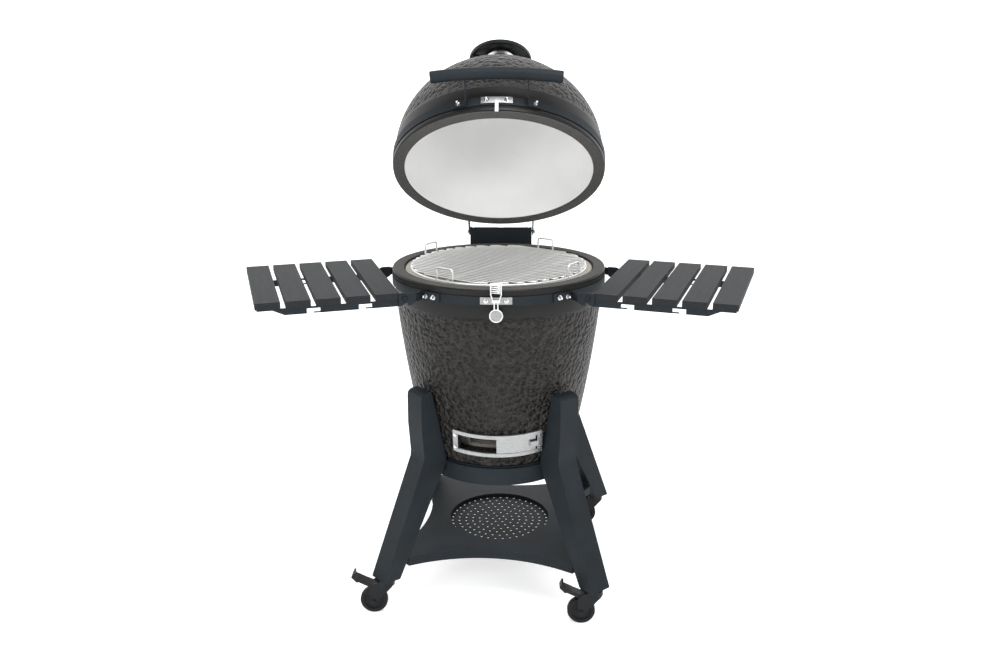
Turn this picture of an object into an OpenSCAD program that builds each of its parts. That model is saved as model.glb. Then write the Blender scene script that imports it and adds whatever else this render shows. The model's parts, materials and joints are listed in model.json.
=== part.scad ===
/* [Overall] */
// Height of the rim of the base above the floor
rim_h = 922; // [860:1:1000]
// Outer radius of the ceramic rim
rim_r = 290; // [240:1:340]
// Angle at which the lid stands open
lid_open = 38.6; // [0:0.2:42]
// Turn of the cart relative to the grill body
cart_turn = -4.4; // [-10:0.1:10]

/* [Ceramic] */
// Wall thickness of the ceramic at the rim
wall = 31; // [24:1:40]
// Depth of the bowl from its rim to its foot
bowl_depth = 511; // [440:1:600]
// Outer radius of the bowl's foot
foot_r = 211; // [180:1:225]
// Height of the rim flange above the band
rim_lip = 17; // [12:1:24]
// Depth at which the smooth collar below the band ends
collar_depth = 81; // [65:1:95]
// Thickness of the bowl's floor
bowl_floor = 32; // [24:1:40]
// Rise of the dome above the top of its collar
dome_rise = 269; // [220:1:310]
// Radius of the neck at the top of the dome
neck_r = 62; // [55:1:75]
// Thickness of each felt gasket
gasket_t = 3; // [2:0.5:5]

/* [Bands and hinge] */
// Height of the steel bands
band_h = 23; // [18:1:28]
// Thickness of the steel bands
band_t = 2.5; // [1.5:0.5:4]
// Distance of the hinge axis behind the rim
hinge_back = 83; // [75:1:95]
// Height of the hinge axis above the rim
hinge_up = 22; // [18:1:26]
// Half width over the hinge's outer arms
hinge_half = 100; // [80:1:120]
// Radius of the hinge pin
hinge_pin_r = 6; // [4:0.5:8]
// Thickness of the hinge plates
hinge_plate = 4; // [3:0.5:6]

/* [Lid handle] */
// Length of the handle bar
handle_len = 322; // [260:1:400]
// Radius of the handle bar
handle_r = 15; // [11:0.5:18]
// Rise of the bowed handle bar at its middle
handle_bow = 10; // [4:1:20]
// Distance of the handle bar in front of the rim
handle_out = 45; // [38:1:60]
// Height of the handle bar above the rim of the lid
handle_up = 68; // [60:1:80]
// Half distance between the handle arms
handle_arm_x = 78; // [60:1:90]

/* [Top vent] */
// Outer radius of the vent stack's tube
stack_r = 34; // [30:1:42]
// Height of the vent stack above the neck
stack_h = 76; // [60:1:85]
// Radius of the vent cap
cap_r = 90; // [75:1:100]

/* [Draft door] */
// Half width of the draft opening
draft_half = 100; // [80:1:110]
// Height of the draft opening
draft_h = 46; // [36:1:54]
// Depth of the draft opening's middle below the rim
draft_depth = 442; // [430:1:450]
// Lean of the draft frame, which follows the bowl's wall
draft_lean = 12; // [8:1:16]

/* [Side shelves] */
// Distance of the front pivot bolt to the side of the bowl's axis
pivot_x = 231; // [225:1:245]
// Distance of the front pivot bolt in front of the bowl's axis
pivot_y = 253; // [245:1:262]
// Angle at which the shelves point forward
shelf_turn = 18; // [10:1:24]
// Width of one shelf across its boards
shelf_w = 353; // [280:1:420]
// Length of the boards
board_len = 426; // [380:1:480]
// Thickness of the boards
board_t = 16.5; // [12:0.5:22]
// Gap between the boards
board_gap = 12; // [8:1:20]
// Height of the rails under the boards
rail_h = 17; // [14:1:24]
// Distance of the rear rail behind the front rail
rail_apart = 300; // [260:1:330]

/* [Cart] */
// Width of the legs
leg_w = 64; // [50:1:70]
// Distance from the bowl's axis to the middle of each leg's foot
leg_foot_r = 401; // [370:1:430]
// Height of the legs' feet above the floor
caster_h = 104; // [95:1:120]
// Height of the lower shelf above the floor
cart_shelf_h = 157; // [140:1:220]
// Radius of the round recess in the lower shelf
recess_r = 148; // [110:1:160]
// Radius of the holes in the recess
hole_r = 3.6; // [2:0.2:5]
// Radius of the caster wheels
wheel_r = 37.5; // [30:0.5:40]
// Width of the caster wheels
wheel_w = 24; // [18:1:28]
// Distance of the wheel axle behind the swivel axis
trail = 35; // [28:1:40]

/* [Cooking grate] */
// Radius of the cooking grate
grate_r = 241; // [190:1:246]
// Number of bars in the grate
grate_bars = 31; // [21:2:39]

/* [Fits] */
// Clearance around pins and axles that turn
run_gap = 0.05; // [0.02:0.01:0.1]
// Clearance between parts that move past each other
pass_gap = 0.3; // [0.2:0.1:1]
// Clearance between parts that are only set beside each other
set_gap = 0.2; // [0.1:0.1:0.5]

/* [Hidden] */
$fn = 96;

CERAMIC = "#3c3b3a";
FELT = "#6f6f6c";
STEEL = "#2e3a42";
BRIGHT = "#c9ccce";
BLACK = "#1c1e20";
BOARD = "#44474a";
PALE = "#cfcdc8";

rim_bore = rim_r - wall - 1;
band_seat_r = rim_r - band_t + 1;
band_r = band_seat_r + set_gap + band_t;
band_top = rim_lip + band_t;
band_bottom = band_top + band_h;
groove_end = band_bottom + 3.5;
collar_r = rim_r - 7;
dimple_r = collar_r - 1;
foot_round = 8;
hinge_y = rim_r + hinge_back;
fit_r = band_r + set_gap;

// Outer radius of the bowl at a depth below the rim
function bowl_r(d) = let(s = (d - collar_depth) / (bowl_depth - collar_depth))
    dimple_r - (dimple_r - foot_r) * (0.6 * s + 0.4 * s * s);
// A point on a circle round the origin
function polar(r, a) = [r * cos(a), r * sin(a)];

// Carries the children up to the rim of the base
module at_rim() { translate([0, 0, rim_h]) children(); }

// Turns the lid's parts, which are drawn shut over the rim, to the open lid
module at_lid() {
    translate([0, hinge_y, rim_h + hinge_up]) rotate([-lid_open, 0, 0])
        translate([0, -hinge_y, -hinge_up]) children();
}

// A curved strip round the bowl's axis, from one compass angle to another off the front
module arc_strip(r, t, z, h, from, to) {
    translate([0, 0, z]) rotate([0, 0, from - 90]) rotate_extrude(angle = to - from, $fn = 180)
        translate([r, 0]) square([t, h]);
}

// Puts the children, drawn along +X, outwards at a compass angle off the front
module off_front(a, z) { translate([0, 0, z]) rotate([0, 0, a - 90]) children(); }

// A bolt with a washer and a domed nut, its seat at the origin, pointing along +X
module dome_bolt(r = 3, reach = 9) {
    rotate([0, 90, 0]) {
        cylinder(r = r * 2, h = 1.2, $fn = 32);
        cylinder(r = r * 1.65, h = reach * 0.55, $fn = 6);
        cylinder(r = r, h = reach, $fn = 24);
        translate([0, 0, reach]) sphere(r = r, $fn = 24);
    }
}

/* ---- ceramic ---- */
bowl_steps = 12;
function bowl_wall(inset, from, to) = [for (i = [0 : bowl_steps])
    let(d = from + (to - from) * i / bowl_steps) [bowl_r(d) - inset, -d]];

module ceramic_base() {
    inner_end = bowl_depth - bowl_floor;
    color(CERAMIC) at_rim() difference() {
        rotate_extrude($fn = 180) polygon(concat(
            [[0, -bowl_depth], [foot_r - foot_round, -bowl_depth]],
            [for (a = [-60 : 30 : 0]) [foot_r - foot_round + foot_round * cos(a),
                -bowl_depth + foot_round + foot_round * sin(a)]],
            [for (i = [bowl_steps - 1 : -1 : 0])
                let(d = collar_depth + (bowl_depth - collar_depth) * i / bowl_steps) [bowl_r(d), -d]],
            [[collar_r, -collar_depth + 3], [collar_r, -groove_end],
                [band_seat_r, -groove_end], [band_seat_r, -rim_lip],
                [rim_r, -rim_lip], [rim_r, -gasket_t - 2], [rim_r - 2, -gasket_t],
                [rim_bore, -gasket_t], [rim_bore, -40]],
            bowl_wall(wall, collar_depth + 20, inner_end),
            [[0, -inner_end]]));
        draft_cut(draft_half, draft_h);
        draft_lean_at(-draft_depth) rotate([0, 0, -90 - seat_angle])
            rotate_extrude(angle = 2 * seat_angle, $fn = 180)
                translate([frame_r - set_gap, -seat_h / 2]) square([30, seat_h]);
    }
}

module base_gasket() {
    color(FELT) at_rim() translate([0, 0, -gasket_t + 0.01]) rotate_extrude($fn = 180)
        polygon([[rim_bore + 1, 0], [rim_r - 3, 0], [rim_r - 1.5, 1.2], [rim_r - 1.5, gasket_t - 0.8],
            [rim_r - 2.3, gasket_t], [rim_bore + 2, gasket_t], [rim_bore + 1, gasket_t - 1]]);
}

module ceramic_lid() {
    dome_r = collar_r + 3;
    top_a = acos(neck_r / dome_r);
    inner_top = acos((stack_r + 6) / (dome_r - wall));
    lid_gap = 0.4;
    rim_z = gasket_t + lid_gap;
    base_z = groove_end + 4;
    color(CERAMIC) at_lid() rotate_extrude($fn = 180) difference() {
        polygon(concat(
            [[rim_bore, rim_z], [rim_r - 2, rim_z], [rim_r, rim_z + 2], [rim_r, rim_lip],
                [band_seat_r, rim_lip], [band_seat_r, groove_end], [dome_r, groove_end]],
            [for (i = [0 : 16]) let(a = top_a * i / 16)
                [dome_r * cos(a), base_z + dome_rise * sin(a)]],
            [[stack_r + set_gap, base_z + dome_rise * sin(top_a)],
                [stack_r + set_gap, base_z + (dome_rise - wall) * sin(inner_top)]],
            [for (i = [14 : -1 : 0]) let(a = inner_top * i / 14)
                [(dome_r - wall) * cos(a), base_z + (dome_rise - wall) * sin(a)]],
            [[rim_bore, base_z - 8]]));
    }
}
neck_z = groove_end + 4 + dome_rise * sin(acos(neck_r / (collar_r + 3)));

module lid_gasket() {
    color(FELT) at_lid() translate([0, 0, 0.4]) rotate_extrude($fn = 180)
        polygon([[rim_bore + 1, 1], [rim_bore + 2, 0], [rim_r - 2.3, 0], [rim_r - 1.5, 0.8],
            [rim_r - 1.5, gasket_t - 1.2], [rim_r - 3, gasket_t - 0.01],
            [rim_bore + 1, gasket_t - 0.01]]);
}

ash_depth = draft_depth - 49;
fire_in_r = bowl_r(ash_depth) - wall - 29;
module fire_bowl() {
    gap = 7;
    from = 205;
    to = bowl_depth - bowl_floor - set_gap;
    thick = 22;
    color(PALE) at_rim() difference() {
        rotate_extrude($fn = 120) polygon(concat(
            [[0, -to]], [[bowl_r(to) - wall - gap - 10, -to]],
            [for (d = [to - 12 : -(to - 12 - from) / 6 : from]) [bowl_r(d) - wall - gap, -d]],
            [for (d = [from : (ash_depth - from) / 5 : ash_depth]) [bowl_r(d) - wall - gap - thick, -d]],
            [[fire_in_r - 10, -ash_depth], [fire_in_r - 18, -to + 24], [0, -to + 24]]));
        draft_cut(draft_half - 25, draft_h - 14);
        for (a = [0 : 60 : 300]) rotate([0, 0, a]) translate([120, 0, -(from + 60)])
            rotate([0, 90, 0]) cylinder(r = 11, h = 120, $fn = 32);
    }
}

module fire_ring() {
    top = 5;
    low = 205 - set_gap;
    thick = 20;
    out_r = rim_bore - 3;
    color(PALE) at_rim() rotate_extrude($fn = 120) polygon([
        [out_r - thick - 1, -top], [out_r - 1, -top], [out_r, -top - 1], [out_r, -60],
        [bowl_r(low) - wall - 8, -low], [bowl_r(low) - wall - 8 - thick, -low],
        [out_r - thick - 2, -60], [out_r - thick - 2, -top - 1]]);
}

/* ---- draft door ---- */
frame_r = (bowl_r(draft_depth) + 1.5) / cos(draft_lean) + 1;
frame_h = draft_h + 22;
seat_h = frame_h + 4;
frame_angle = asin(draft_half / frame_r) + 4.6;
seat_angle = frame_angle + 1;
window_angle = asin(draft_half / frame_r);
slider_h = draft_h + 3;
slider_t = 1.4;

// The draft frame's own axes: z leans with the wall, and the frame's front is level with its middle
module draft_lean_at(z) {
    translate([0, 0, z + frame_r * sin(draft_lean)]) rotate([draft_lean, 0, 0]) children();
}
// A sector of a ring on the draft frame's axes, between two angles off the front
module draft_sector(r, t, h, from, to) {
    draft_lean_at(-draft_depth) rotate([0, 0, from - 90]) rotate_extrude(angle = to - from, $fn = 180)
        translate([r, -h / 2]) square([t, h]);
}
// The opening through the front wall
module draft_cut(half, h) {
    translate([-half, -foot_r - 60, -draft_depth - h / 2]) cube([2 * half, 160, h]);
}

frame_t = 5.4;
module draft_frame() {
    back = 0.8;
    groove = 3.6;
    color(BRIGHT) at_rim() difference() {
        draft_sector(frame_r, frame_t, frame_h, -frame_angle, frame_angle);
        draft_sector(frame_r - 1, frame_t + 2, draft_h, -window_angle - 1, window_angle + 1);
        draft_sector(frame_r + back, groove, draft_h + 4, -window_angle - 1, window_angle + 1);
    }
}
frame_face = frame_r + frame_t;

module draft_screws() {
    color(BRIGHT) at_rim() for (a = [-1, 1], z = [-1, 1])
        draft_lean_at(-draft_depth) off_front(a * (frame_angle - 1.8), z * (draft_h / 2 - 4))
            translate([frame_face, 0, 0]) rotate([0, 90, 0]) {
                cylinder(r = 4.5, h = 2.2, $fn = 32);
                cylinder(r = 3, h = 3.2, $fn = 6);
            }
}

module draft_slider() {
    r = frame_r + 0.8 + pass_gap * 2 + slider_t;
    color(BRIGHT) at_rim() {
        draft_sector(r, slider_t, slider_h, -0.5, window_angle);
        draft_lean_at(-draft_depth) off_front(window_angle - 2.6, 0)
            translate([r + slider_t - 0.7, -7, -6]) cube([7, 1.5, 12]);
        draft_lean_at(-draft_depth) off_front(window_angle - 2.6, 0)
            translate([r + slider_t + 5.5, -7, -8]) cube([1.5, 22, 16]);
    }
}

module draft_slider_inner() {
    r = frame_r + 0.8 + pass_gap;
    color(BRIGHT) at_rim() draft_sector(r, slider_t, slider_h, 0.5, window_angle);
}

/* ---- bands and front fittings ---- */
module band_ring(bottom) {
    arc_strip(band_seat_r + set_gap, band_t, bottom, band_h, 1, 359);
}
module base_band() { color(STEEL) at_rim() band_ring(-band_bottom); }
module lid_band() { color(STEEL) at_lid() band_ring(band_top); }

plate_a = 7.8;
plate_t = 1.8;
plate_h = 18;
bolt_a = 5;
// A curved stainless plate with a slot for each clamp bolt
module slotted_plate(z) {
    difference() {
        arc_strip(fit_r, plate_t, z, plate_h, -plate_a, plate_a);
        for (a = [-bolt_a, bolt_a]) off_front(a, z + plate_h / 2)
            translate([fit_r - 2, -7, -3.4]) cube([plate_t + 4, 12, 6.8]);
    }
}
latch_z = -band_bottom + 4.5 + plate_h / 2;
latch_y = fit_r + plate_t + 6;
latch_pin_r = 1.8;

module latch_plate() {
    color(BRIGHT) at_rim() {
        slotted_plate(latch_z - plate_h / 2);
        for (m = [0, 1]) mirror([m, 0, 0]) translate([10.6, -latch_y, latch_z]) rotate([0, 90, 0])
            difference() {
                union() {
                    cylinder(r = 4, h = 2, $fn = 32);
                    translate([-4, 0, 0]) cube([8, latch_y - fit_r - 1, 2]);
                }
            }
        translate([-12.6, -latch_y, latch_z]) rotate([0, 90, 0])
            cylinder(r = latch_pin_r, h = 25.2, $fn = 32);
    }
}

module base_band_bolts() {
    color(BRIGHT) at_rim() {
        for (a = [-bolt_a, bolt_a]) off_front(a, latch_z) translate([fit_r + plate_t, 0, 0]) dome_bolt(3, 7);
        for (x = [-36, 36]) translate([x, hinge_face + hinge_plate, 4]) rotate([0, 0, 90]) dome_bolt(3, 7);
    }
}

// Round wire between two points, with round ends
module wire(a, b, r) {
    v = b - a;
    translate(a) rotate([0, acos(v[2] / norm(v)), atan2(v[1], v[0])]) cylinder(r = r, h = norm(v), $fn = 24);
    translate(b) sphere(r = r * 1.1, $fn = 24);
}

latch_wire = 1.6;
lever_x = 4.5;
lever_reach = 22;
disc_r = 14;
module latch_lever() {
    ring_r = disc_r + latch_wire;
    color(BRIGHT) at_rim() translate([0, -latch_y, latch_z]) {
        difference() {
            rotate([0, 90, 0]) translate([0, 0, -lever_x - 2]) cylinder(r = 4, h = 2 * lever_x + 4, $fn = 32);
            rotate([0, 90, 0]) translate([0, 0, -20])
                cylinder(r = latch_pin_r + run_gap, h = 40, $fn = 32);
        }
        for (x = [-lever_x, lever_x])
            translate([x, 0, -lever_reach]) cylinder(r = latch_wire, h = lever_reach - 3, $fn = 24);
        translate([0, 0, -lever_reach - ring_r + 1.2]) rotate([90, 0, 0]) rotate_extrude($fn = 64)
            translate([ring_r, 0]) circle(r = latch_wire, $fn = 16);
    }
}
module latch_disc() {
    color(BRIGHT) at_rim() translate([0, -latch_y + 1, latch_z - lever_reach - disc_r - latch_wire + 1.2])
        rotate([90, 0, 0]) cylinder(r = disc_r - set_gap, h = 2, $fn = 64);
}

bail_foot_x = 8.4;
bail_x = 13;
bail_top = 16;
bail_bend = -11;
module latch_bail() {
    low = latch_z + 3;
    color(BRIGHT) at_rim() translate([0, -latch_y, 0]) {
        for (m = [0, 1]) mirror([m, 0, 0]) {
            difference() {
                translate([bail_foot_x - 1.6, 0, latch_z]) rotate([0, 90, 0])
                    cylinder(r = 4, h = 3.2, $fn = 32);
                translate([0, 0, latch_z]) rotate([0, 90, 0])
                    cylinder(r = latch_pin_r + run_gap, h = 30, $fn = 32);
            }
            wire([bail_foot_x, 0, low], [bail_x, 0, bail_bend], latch_wire);
            wire([bail_x, 0, bail_bend], [bail_x, 0, bail_top], latch_wire);
        }
        wire([bail_x, 0, bail_top], [-bail_x, 0, bail_top], latch_wire);
    }
}
module latch_spring() {
    half = bail_x - latch_wire - set_gap;
    turns = 5;
    pitch = 5;
    color(BRIGHT) at_rim() translate([0, -latch_y, bail_bend + 1.5]) difference() {
        translate([-half, -1.2, 0]) cube([2 * half, 2.4, turns * pitch - 1.6]);
        for (i = [0 : turns - 2]) translate([(i % 2 == 0 ? -half - 1 : -half + 3), -2, i * pitch + 2.4])
            cube([2 * half - 2, 4, 1.8]);
    }
}

module lid_catch() {
    stem_w = 9;
    z = band_top + 4.5;
    y = fit_r;
    color(BRIGHT) at_lid() {
        slotted_plate(z);
        translate([-stem_w / 2, -y - 2 * plate_t - 0.4, -3.5]) cube([stem_w, plate_t, z + 6 + 3.5]);
        translate([-stem_w / 2, -y - 2 * plate_t - 0.4, z + 2]) cube([stem_w, plate_t + 0.6, 10]);
    }
}

handle_foot_a = asin(handle_arm_x / fit_r);
module lid_band_bolts() {
    color(BRIGHT) at_lid() {
        for (a = [-bolt_a, bolt_a]) off_front(a, band_top + 4.5 + plate_h / 2)
            translate([fit_r + plate_t, 0, 0]) dome_bolt(3, 7);
        for (a = [-1, 1]) off_front(a * (handle_foot_a + 3.6), band_top + band_h / 2)
            translate([fit_r + 3, 0, 0]) dome_bolt(3.4, 8);
        for (x = [-60, 60]) translate([x, sqrt(pow(fit_r + hinge_plate, 2) - 60 * 60) + 0.6, band_top + band_h / 2])
            rotate([0, 0, 90]) dome_bolt(3, 2);
    }
}

/* ---- lid handle ---- */
handle_y = rim_r + handle_out;
bow_r = (pow(handle_len / 2, 2) + pow(handle_bow, 2)) / (2 * handle_bow);
bow_half = asin(handle_len / 2 / bow_r);
bow_lean = 45;
// The bowed centre line's own plane, with +X along the bar and +Y towards the bow
module at_bow() {
    translate([0, -handle_y, handle_up]) rotate([180 - bow_lean, 0, 0])
        translate([0, -bow_r + handle_bow, 0]) children();
}
module handle_bar() {
    color(STEEL) at_lid() at_bow() rotate([0, 0, 90 - bow_half]) rotate_extrude(angle = 2 * bow_half, $fn = 360)
        translate([bow_r, 0]) circle(r = handle_r, $fn = 48);
}
module handle_end_caps() {
    color(BLACK) at_lid() at_bow() for (a = [-1, 1]) rotate([0, 0, 90 + a * bow_half])
        translate([bow_r, a * set_gap, 0]) rotate([-90 * a, 0, 0]) {
            cylinder(r = handle_r - 1, h = 1.6, $fn = 48);
        }
}
module handle_arms() {
    t = 3;
    foot_y = sqrt(pow(fit_r, 2) - pow(handle_arm_x, 2));
    grip_y = handle_y;
    grip_z = handle_up + handle_bow * 0.6;
    bow_at = handle_bow - handle_arm_x * handle_arm_x / (2 * bow_r);
    color(STEEL) at_lid() for (m = [0, 1]) mirror([m, 0, 0]) {
        arc_strip(fit_r, t, band_top + 1, band_h - 2, handle_foot_a - 0.7, handle_foot_a + 6.4);
        difference() {
            translate([handle_arm_x - t / 2, 0, 0]) rotate([90, 0, 90]) linear_extrude(t) polygon([
                [-foot_y - 1.4, band_top + 3], [-foot_y - 1.4, band_bottom - 3],
                [-grip_y + 12, grip_z + 8], [-grip_y - 4, grip_z + 8],
                [-grip_y - 8, grip_z - 4], [-foot_y - 12, band_top + 6]]);
            translate([0, -handle_y - bow_at * cos(bow_lean), handle_up + bow_at * sin(bow_lean)])
                rotate([0, 90, 0]) cylinder(r = handle_r + 2 * set_gap, h = 2 * handle_arm_x, $fn = 48);
        }
    }
}

/* ---- hinge ---- */
hinge_face = band_r + 29;
boss_r = 12;
arm_x = hinge_half - hinge_plate;
side_x = arm_x - 2 - hinge_plate;
spring_r = 17;

// A plate in the hinge's side view, from x outwards
module side_plate(x, points) {
    translate([x, 0, 0]) rotate([90, 0, 90]) linear_extrude(hinge_plate) polygon(points);
}
module hinge_boss(x, bore) {
    difference() {
        children();
        translate([x - 1, hinge_y, hinge_up]) rotate([0, 90, 0]) cylinder(r = bore, h = hinge_plate + 2, $fn = 64);
    }
}
module round_boss(x) {
    translate([x, hinge_y, hinge_up]) rotate([0, 90, 0]) cylinder(r = boss_r, h = hinge_plate, $fn = 64);
}

module hinge_base_frame() {
    side_y = sqrt(pow(fit_r, 2) - pow(side_x, 2)) + 0.4;
    color(STEEL) at_rim() {
        for (m = [0, 1]) mirror([m, 0, 0]) {
            hinge_boss(side_x, hinge_pin_r + set_gap) union() {
                side_plate(side_x, [[side_y, -band_bottom + 1], [side_y, -band_top],
                    [hinge_face, -rim_lip + 6], [hinge_face, hinge_up + 20],
                    [hinge_face + 14, hinge_up + 20], [hinge_y + 2, hinge_up + boss_r],
                    [hinge_y + boss_r - 0.4, hinge_up - 2], [hinge_y - 10, hinge_up - 30],
                    [hinge_face, -band_bottom + 1]]);
                round_boss(side_x);
            }
        }
        translate([-side_x - set_gap / 2, hinge_face, -band_bottom + 1])
            cube([2 * side_x + set_gap, hinge_plate, band_bottom - 1 + hinge_up + 20]);
        for (a = [-10, 10]) arc_strip(fit_r, (hinge_face + 1.5) / cos(10) - fit_r, -band_bottom + 2,
            band_h - 4, 180 + a - 1, 180 + a + 1);
    }
}

module hinge_lid_frame() {
    foot_y = sqrt(pow(fit_r, 2) - pow(arm_x, 2)) + 0.4;
    foot_a = asin(arm_x / (fit_r + 2));
    color(STEEL) at_lid() {
        for (m = [0, 1]) mirror([m, 0, 0]) {
            hinge_boss(arm_x, hinge_pin_r + run_gap) union() {
                side_plate(arm_x, [[foot_y, band_top + 1], [foot_y, band_bottom - 1],
                    [hinge_y - 30, hinge_up + boss_r + 3], [hinge_y, hinge_up + boss_r],
                    [hinge_y, hinge_up - boss_r], [hinge_y - 20, hinge_up - boss_r + 2]]);
                round_boss(arm_x);
            }
        }
        arc_strip(fit_r, hinge_plate - 0.5, band_top + 1, band_h - 2, 180 - foot_a, 180 + foot_a);
    }
}

module hinge_pin() {
    color(BRIGHT) at_rim() translate([0, hinge_y, hinge_up]) rotate([0, 90, 0]) {
        translate([0, 0, -hinge_half - 1]) cylinder(r = hinge_pin_r, h = 2 * hinge_half + 2, $fn = 64);
        for (m = [0, 1]) mirror([0, 0, m]) translate([0, 0, hinge_half + 0.6])
            cylinder(r = hinge_pin_r + 3.5, h = 4, $fn = 6);
    }
}

module hinge_springs() {
    gap = 8;
    color(BRIGHT) at_rim() for (m = [0, 1]) mirror([m, 0, 0])
        translate([gap, hinge_y, hinge_up]) rotate([0, 90, 0]) difference() {
            cylinder(r = spring_r, h = side_x - gap - 2, $fn = 64);
            translate([0, 0, -1]) cylinder(r = spring_r - 4, h = side_x - gap + 2, $fn = 64);
        }
}

/* ---- top vent ---- */
stack_top = neck_z + stack_h;
module vent_stack() {
    inner = stack_r - 4;
    low = neck_z - wall - 4;
    color(BRIGHT) at_lid() rotate_extrude($fn = 72) polygon(concat(
        [[inner, low], [stack_r, low], [stack_r, neck_z + set_gap], [stack_r + 12, neck_z + set_gap],
            [stack_r + 12, neck_z + 3], [stack_r, neck_z + 6]],
        [for (i = [0 : 2]) each let(z = stack_top - 58 + 24.5 * i, out = 2.5 + i * 3.5)
            [[stack_r + i * 2, z - 6], [stack_r + out, z], [stack_r + out, z + 9 - 0.01 * i],
                [stack_r + min(i, 1) * 2, z + 9]]],
        [[inner, stack_top]]));
}

nut_r = stack_r - 4 - pass_gap;
module vent_nut() {
    color(BRIGHT) at_lid() translate([0, 0, stack_top - 26]) rotate_extrude($fn = 96)
        polygon([[nut_r - 4, 0], [nut_r, 0], [nut_r, 30], [nut_r - 4, 30]]);
}

// The cap is a shallow dome with a turned-down rim, seated round the threaded nut
module vent_cap() {
    rise = 20;
    t = 5;
    dome = (cap_r * cap_r + rise * rise) / (2 * rise);
    rim_z = stack_top - 17;
    crown = rim_z + 10 + rise;
    half = asin(cap_r / dome);
    color(BLACK) at_lid() {
        rotate_extrude($fn = 120) polygon(concat(
            [for (i = [0 : 10]) let(a = half * i / 10)
                [dome * sin(a), crown - dome * (1 - cos(a))]],
            [[cap_r, rim_z], [cap_r - t, rim_z]],
            [for (i = [9 : -1 : 0]) let(a = half * i / 10)
                [(dome - t) * sin(a) * 0.985, crown - t - dome * (1 - cos(a))]]));
        rotate_extrude($fn = 96) polygon([[nut_r - 8, stack_top - 10], [nut_r - 4 - set_gap, stack_top - 10],
            [nut_r - 4 - set_gap, crown - t - 0.5], [nut_r - 8, crown - t - 0.5]]);
        for (a = [20, 200]) rotate([0, 0, a]) translate([stack_r + 16, -1.5, rim_z + 1])
            cube([cap_r - stack_r - 24, 3, 8]);
    }
}

/* ---- side shelves ---- */
pivot_drop = 30.5;
board_top = 13;
board_start = 12;
boards = 5;
board_w = (shelf_w - (boards - 1) * board_gap) / boards;
rail_t = 4;
rail_top = board_top - board_t - 0.05;
bracket_t = 4;
pivot_r = 4;
ear_r = 13;
// The right shelf's own axes: x outwards, y back along the pivots, z up, origin on the front pivot
module at_shelf() {
    translate([pivot_x, -pivot_y, -pivot_drop]) rotate([0, 0, -shelf_turn]) children();
}
// A point of those axes seen from the bowl's axis
function shelf_plan(x, y) = [pivot_x + x * cos(shelf_turn) + y * sin(shelf_turn),
    -pivot_y - x * sin(shelf_turn) + y * cos(shelf_turn)];

module shelf_rail() {
    end = board_start + shelf_w;
    notch_w = 33;
    low = rail_top - rail_h;
    difference() {
        union() {
            rotate([90, 0, 0]) linear_extrude(rail_t) difference() {
                polygon([[0, low + 4], [10, low], [end - 70, low], [end - 41, rail_top - 3.5], [end - 4, rail_top - 3.5],
                    [end - 4, rail_top], [0, rail_top]]);
                for (x = [board_start + 70, board_start + 197]) {
                    translate([x, low - 1]) square([notch_w, 5]);
                    translate([x, low + 3]) square([notch_w, rail_h - 7.5]);
                }
            }
            rotate([90, 0, 0]) cylinder(r = ear_r, h = rail_t, $fn = 64);
            for (x = [board_start + 70, board_start + 197])
                translate([x - 2, -rail_t, low + 0.6]) cube([18, rail_t, 2.6]);
        }
        translate([0, 1, 0]) rotate([90, 0, 0]) cylinder(r = pivot_r + run_gap, h = rail_t + 2, $fn = 48);
        translate([board_start - 0.5, -rail_t - 1, rail_top]) cube([40, rail_t + 2, 20]);
    }
}
module shelf_rails() {
    at_rim() at_shelf() {
        shelf_rail();
        translate([0, rail_apart + rail_t, 0]) shelf_rail();
    }
}
module shelf_boards() {
    at_rim() at_shelf() for (i = [0 : boards - 1])
        translate([board_start + i * (board_w + board_gap), -rail_t, board_top - board_t])
            cube([board_w, board_len, board_t]);
}
module left_shelf_rails() { color(STEEL) mirror([1, 0, 0]) shelf_rails(); }
module right_shelf_rails() { color(STEEL) shelf_rails(); }
module left_shelf_boards() { color(BOARD) mirror([1, 0, 0]) shelf_boards(); }
module right_shelf_boards() { color(BOARD) shelf_boards(); }

// A straight strip of plate seen from above, between two points
module strip(a, b, t) {
    translate(a) rotate(atan2(b[1] - a[1], b[0] - a[0])) translate([0, -t / 2]) square([norm(b - a), t]);
}
front_y = -rail_t - pass_gap - bracket_t / 2;
rear_y = rail_apart + rail_t + pass_gap + bracket_t / 2;
foot_front = [29, 40.5];
foot_rear = [113, 101.5];
front_ear = [[9, 13], [16, 8], [16, -17], [13, -20]];
rear_ear = [for (a = [75 : -15 : -90]) polar(11, a)];
module shelf_bracket(feet, y, low_x, ear) {
    arm_z = -band_bottom + 1.5;
    elbow = polar(fit_r + bracket_t * 0.72, feet[1] + sign(feet[0] - feet[1]) * 0.5 - 90);
    start = shelf_plan(low_x, y);
    difference() {
        union() {
            arc_strip(fit_r, bracket_t, -band_bottom + 0.5, band_h - 1, min(feet), max(feet));
            translate([0, 0, arm_z]) linear_extrude(band_h - 3) {
                strip(elbow, start, bracket_t - 0.4);
                translate(start) circle(d = bracket_t - 0.2, $fn = 24);
            }
            at_shelf() translate([0, y + bracket_t / 2, 0]) rotate([90, 0, 0])
                linear_extrude(bracket_t) polygon(concat([[low_x, 12], [-3, 12.3]], ear,
                    [[-5, -11.3], [-8, -19.5], [low_x + 12, -19.5], [low_x, -11.7]]));
        }
        at_shelf() translate([0, y + bracket_t, 0]) rotate([90, 0, 0])
            cylinder(r = pivot_r + set_gap, h = 2 * bracket_t, $fn = 48);
    }
}
module shelf_brackets() {
    at_rim() {
        shelf_bracket(foot_front, front_y, -27, front_ear);
        shelf_bracket(foot_rear, rear_y, -22, rear_ear);
    }
}
module left_shelf_brackets() { color(STEEL) mirror([1, 0, 0]) shelf_brackets(); }
module right_shelf_brackets() { color(STEEL) shelf_brackets(); }

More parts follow.
